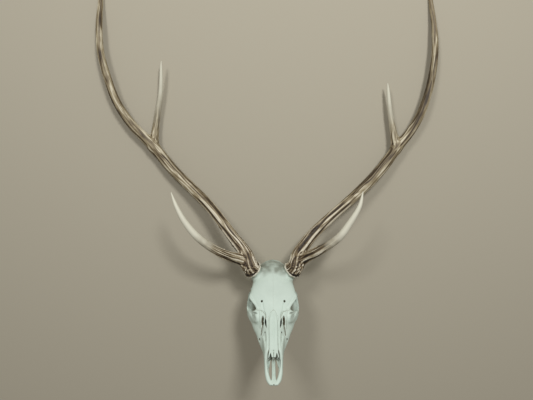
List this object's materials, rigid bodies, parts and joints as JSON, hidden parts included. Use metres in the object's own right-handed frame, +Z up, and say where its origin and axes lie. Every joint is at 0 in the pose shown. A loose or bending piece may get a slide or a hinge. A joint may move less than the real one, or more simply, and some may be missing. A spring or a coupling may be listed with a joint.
{
  "type": "deer skull with antlers",
  "caption": "Bleached skull of an adult axis deer, or chital, with its antlers and without the lower jaw, lying nose up as a still, life-size museum model.",
  "frame": {"origin": "middle of the lower face of the bounding box, on the surface that the skull lies on", "axes": "+Z up from the floor, +X towards the animal's left, +Y from the skull towards the antler tips"},
  "size_m": [0.7246, 0.83, 0.2345],
  "materials": {
    "bone": "bleached bone, smooth and dry, dull satin",
    "antler": "antler, furrowed, brown in the furrows, polished pale on the ridges and the tine tips"
  },
  "bodies": {
    "root": {"braincase": "bone", "frontal_left": "bone", "frontal_right": "bone", "nasal_left": "bone", "nasal_right": "bone", "maxilla_left": "bone", "maxilla_right": "bone", "premaxilla_left": "bone", "premaxilla_right": "bone", "zygomatic_left": "bone", "zygomatic_right": "bone", "antler_left_lower_beam": "antler", "antler_left_upper_beam": "antler", "antler_left_brow_tine": "antler", "antler_left_inner_tine": "antler", "antler_right_lower_beam": "antler", "antler_right_upper_beam": "antler", "antler_right_brow_tine": "antler", "antler_right_inner_tine": "antler"}
  },
  "joints": []
}
